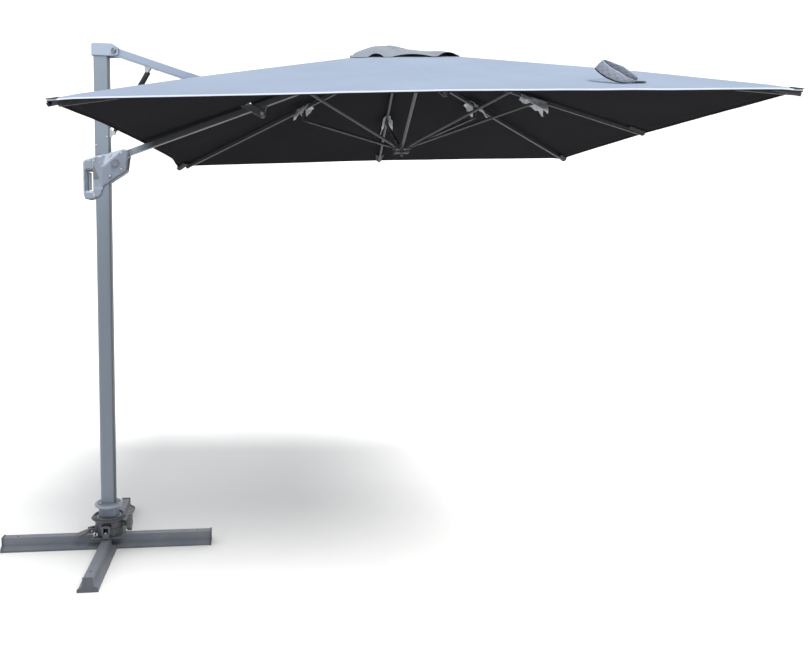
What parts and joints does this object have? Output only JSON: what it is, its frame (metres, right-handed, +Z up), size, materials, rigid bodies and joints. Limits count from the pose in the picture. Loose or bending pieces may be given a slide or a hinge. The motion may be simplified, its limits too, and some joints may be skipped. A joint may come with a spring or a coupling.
{
  "type": "cantilever patio umbrella",
  "caption": "Cantilever parasol: rectangular mast on a cross base, sliding lift handle, two linked arms and a square canopy that folds down beside the mast.",
  "frame": {"origin": "on the floor under the mast's axis, at the centre of the cross base", "axes": "+Z up along the mast, +X from the mast towards the canopy, +Y to the canopy's far side"},
  "size_m": [3.1877, 2.5, 2.5029],
  "materials": {
    "painted_aluminium": "smooth powder coat, satin, light blue-grey",
    "dark_steel": "textured powder coat, satin, gunmetal",
    "rib_metal": "satin powder coat, dark grey",
    "black_plastic": "fine grained moulded plastic",
    "grey_plastic": "smooth satin moulded plastic",
    "zinc": "bright zinc plate",
    "canopy_cloth": "woven polyester, matte, light steel blue"
  },
  "bodies": {
    "base": {"base_rail_long": "dark_steel", "base_rail_halves": "dark_steel", "base_caps_and_foot": "black_plastic", "base_seat_plate": "dark_steel", "base_bolts": "zinc", "swivel_housing": "dark_steel", "swivel_bush": "black_plastic", "ring_bolt": "zinc", "pedal_pin": "zinc"},
    "pedal": {"foot_pedal": "dark_steel"},
    "knob": {"star_knob": "black_plastic"},
    "mast": {"swivel_spindle": "rib_metal", "mast_tube": "painted_aluminium", "mast_sleeve": "grey_plastic", "turn_ring": "grey_plastic", "mast_bolts": "zinc", "head_casting": "grey_plastic", "head_pivot_bolt": "zinc", "gas_bracket_lower": "rib_metal"},
    "upper_arm": {"upper_arm_tube": "painted_aluminium", "upper_arm_plates": "painted_aluminium", "elbow_pin": "zinc", "gas_bracket_upper": "rib_metal"},
    "lower_arm": {"lower_arm_tube": "painted_aluminium", "slider_fitting": "painted_aluminium", "elbow_bracket": "painted_aluminium", "elbow_spacers": "black_plastic", "crown_fitting": "painted_aluminium"},
    "slider": {"slider_carriage": "rib_metal", "slider_bushes": "black_plastic", "slider_shell_near": "grey_plastic", "slider_shell_far": "grey_plastic", "slider_screws": "zinc", "slider_pivot_bolt": "zinc", "trigger_spring": "zinc"},
    "trigger": {"release_trigger": "black_plastic"},
    "gas_cylinder": {"gas_cylinder": "dark_steel"},
    "gas_rod": {"gas_rod": "zinc"},
    "crown": {"crown_hub": "black_plastic", "crown_pins": "zinc", "vent_post": "black_plastic", "canopy": "canopy_cloth", "canopy_vent": "canopy_cloth", "tie_strap": "canopy_cloth"},
    "hub": {"lower_hub": "black_plastic", "hub_handle": "black_plastic"},
    "rib_right": {"rib_right": "rib_metal"},
    "strut_right": {"strut_right": "rib_metal"},
    "rib_far_right": {"rib_far_right": "rib_metal"},
    "strut_far_right": {"strut_far_right": "rib_metal"},
    "rib_far": {"rib_far": "rib_metal"},
    "strut_far": {"strut_far": "rib_metal"},
    "rib_far_left": {"rib_far_left": "rib_metal"},
    "strut_far_left": {"strut_far_left": "rib_metal"},
    "rib_near_left": {"rib_near_left": "rib_metal"},
    "strut_near_left": {"strut_near_left": "rib_metal"},
    "rib_near": {"rib_near": "rib_metal"},
    "strut_near": {"strut_near": "rib_metal"},
    "rib_near_right": {"rib_near_right": "rib_metal"},
    "strut_near_right": {"strut_near_right": "rib_metal"}
  },
  "joints": [
    {"name": "mast_turn", "type": "hinge", "parent": "base", "child": "mast", "pos_m": [0, 0, 0.15], "axis": [0, 0, 1], "continuous": true},
    {"name": "pedal_press", "type": "hinge", "parent": "base", "child": "pedal", "pos_m": [-0.07802, -0.04875, 0.104], "axis": [0.5299, -0.848, 0], "range_deg": [0, 16], "stiffness_Nm_per_rad": 0.6, "springref_deg": -17.19},
    {"name": "knob_turn", "type": "hinge", "parent": "base", "child": "knob", "pos_m": [0.09976, 0.00698, 0.118], "axis": [0.9976, 0.0698, 0], "continuous": true},
    {"name": "canopy_fold", "type": "hinge", "parent": "mast", "child": "upper_arm", "pos_m": [0.0638, 0, 2.43], "axis": [0, 1, 0], "range_deg": [0, 56], "deforming": ["canopy", "canopy_vent", "tie_strap"]},
    {"name": "elbow", "type": "hinge", "parent": "upper_arm", "child": "lower_arm", "pos_m": [0.75135, 0, 2.1702], "axis": [0, 1, 0], "range_deg": [-112.01, 0]},
    {"name": "handle_pivot", "type": "hinge", "parent": "lower_arm", "child": "slider", "pos_m": [0.0638, 0, 1.91039], "axis": [0, 1, 0], "range_deg": [0, 56.01]},
    {"name": "crown_pivot", "type": "hinge", "parent": "lower_arm", "child": "crown", "pos_m": [1.37006, 0, 2.44277], "axis": [0, 1, 0], "range_deg": [0, 59.21]},
    {"name": "rib_hinge_right", "type": "hinge", "parent": "crown", "child": "rib_right", "pos_m": [1.44994, 0, 2.44723], "axis": [0, 1, 0], "range_deg": [0, 64.01]},
    {"name": "strut_hinge_right", "type": "hinge", "parent": "rib_right", "child": "strut_right", "pos_m": [2.08855, 0, 2.28056], "axis": [0, 1, 0], "range_deg": [-128.01, 0]},
    {"name": "rib_hinge_far_right", "type": "hinge", "parent": "crown", "child": "rib_far_right", "pos_m": [1.43824, 0.02828, 2.44658], "axis": [-0.706, 0.7071, -0.0395], "range_deg": [0, 64.01]},
    {"name": "strut_hinge_far_right", "type": "hinge", "parent": "rib_far_right", "child": "strut_far_right", "pos_m": [1.89311, 0.47257, 2.26964], "axis": [-0.706, 0.7071, -0.0395], "range_deg": [-128.01, 0]},
    {"name": "rib_hinge_far", "type": "hinge", "parent": "crown", "child": "rib_far", "pos_m": [1.41, 0.04, 2.445], "axis": [-0.9984, 0, -0.0558], "range_deg": [0, 64.01]},
    {"name": "strut_hinge_far", "type": "hinge", "parent": "rib_far", "child": "strut_far", "pos_m": [1.42128, 0.66831, 2.24326], "axis": [-0.9984, 0, -0.0558], "range_deg": [-128.01, 0]},
    {"name": "rib_hinge_far_left", "type": "hinge", "parent": "crown", "child": "rib_far_left", "pos_m": [1.38176, 0.02828, 2.44342], "axis": [-0.706, -0.7071, -0.0395], "range_deg": [0, 64.01]},
    {"name": "strut_hinge_far_left", "type": "hinge", "parent": "rib_far_left", "child": "strut_far_left", "pos_m": [0.94945, 0.47257, 2.21688], "axis": [-0.706, -0.7071, -0.0395], "range_deg": [-128.01, 0]},
    {"name": "rib_hinge_near_left", "type": "hinge", "parent": "crown", "child": "rib_near_left", "pos_m": [1.38176, -0.02828, 2.44342], "axis": [0.706, -0.7071, 0.0395], "range_deg": [0, 64.01]},
    {"name": "strut_hinge_near_left", "type": "hinge", "parent": "rib_near_left", "child": "strut_near_left", "pos_m": [0.94945, -0.47257, 2.21688], "axis": [0.706, -0.7071, 0.0395], "range_deg": [-128.01, 0]},
    {"name": "rib_hinge_near", "type": "hinge", "parent": "crown", "child": "rib_near", "pos_m": [1.41, -0.04, 2.445], "axis": [0.9984, 0, 0.0558], "range_deg": [0, 64.01]},
    {"name": "strut_hinge_near", "type": "hinge", "parent": "rib_near", "child": "strut_near", "pos_m": [1.42128, -0.66831, 2.24326], "axis": [0.9984, 0, 0.0558], "range_deg": [-128.01, 0]},
    {"name": "rib_hinge_near_right", "type": "hinge", "parent": "crown", "child": "rib_near_right", "pos_m": [1.43824, -0.02828, 2.44658], "axis": [0.706, 0.7071, 0.0395], "range_deg": [0, 64.01]},
    {"name": "strut_hinge_near_right", "type": "hinge", "parent": "rib_near_right", "child": "strut_near_right", "pos_m": [1.89311, -0.47257, 2.26964], "axis": [0.706, 0.7071, 0.0395], "range_deg": [-128.01, 0]},
    {"name": "hub_pivot", "type": "hinge", "parent": "strut_right", "child": "hub", "pos_m": [1.4725, 0, 2.04375], "axis": [0, 1, 0], "range_deg": [0, 64.01]},
    {"name": "gas_tilt", "type": "hinge", "parent": "mast", "child": "gas_cylinder", "pos_m": [0.051, 0, 2.056], "axis": [0, 1, 0], "range_deg": [-20.75, 0]},
    {"name": "gas_stroke", "type": "slide", "parent": "gas_cylinder", "child": "gas_rod", "axis": [0.4711, 0, 0.8821], "range_m": [-0.12233, 0]},
    {"name": "trigger_squeeze", "type": "slide", "parent": "slider", "child": "trigger", "axis": [-1, 0, 0], "range_m": [0, 0.006], "stiffness_N_per_m": 400, "springref_m": -0.004}
  ],
  "couplings": [
    {"joint": "elbow", "follows": "canopy_fold", "ratio": -2},
    {"joint": "handle_pivot", "follows": "canopy_fold", "ratio": 1},
    {"joint": "crown_pivot", "follows": "canopy_fold", "ratio": 1.0571},
    {"joint": "rib_hinge_right", "follows": "canopy_fold", "ratio": 1.1429},
    {"joint": "strut_hinge_right", "follows": "canopy_fold", "ratio": -2.2857},
    {"joint": "rib_hinge_far_right", "follows": "canopy_fold", "ratio": 1.1429},
    {"joint": "strut_hinge_far_right", "follows": "canopy_fold", "ratio": -2.2857},
    {"joint": "rib_hinge_far", "follows": "canopy_fold", "ratio": 1.1429},
    {"joint": "strut_hinge_far", "follows": "canopy_fold", "ratio": -2.2857},
    {"joint": "rib_hinge_far_left", "follows": "canopy_fold", "ratio": 1.1429},
    {"joint": "strut_hinge_far_left", "follows": "canopy_fold", "ratio": -2.2857},
    {"joint": "rib_hinge_near_left", "follows": "canopy_fold", "ratio": 1.1429},
    {"joint": "strut_hinge_near_left", "follows": "canopy_fold", "ratio": -2.2857},
    {"joint": "rib_hinge_near", "follows": "canopy_fold", "ratio": 1.1429},
    {"joint": "strut_hinge_near", "follows": "canopy_fold", "ratio": -2.2857},
    {"joint": "rib_hinge_near_right", "follows": "canopy_fold", "ratio": 1.1429},
    {"joint": "strut_hinge_near_right", "follows": "canopy_fold", "ratio": -2.2857},
    {"joint": "hub_pivot", "follows": "canopy_fold", "ratio": 1.1429},
    {"joint": "gas_tilt", "follows": "canopy_fold", "ratio": -0.37029},
    {"joint": "gas_stroke", "follows": "canopy_fold", "m_per_rad": -0.12465}
  ]
}
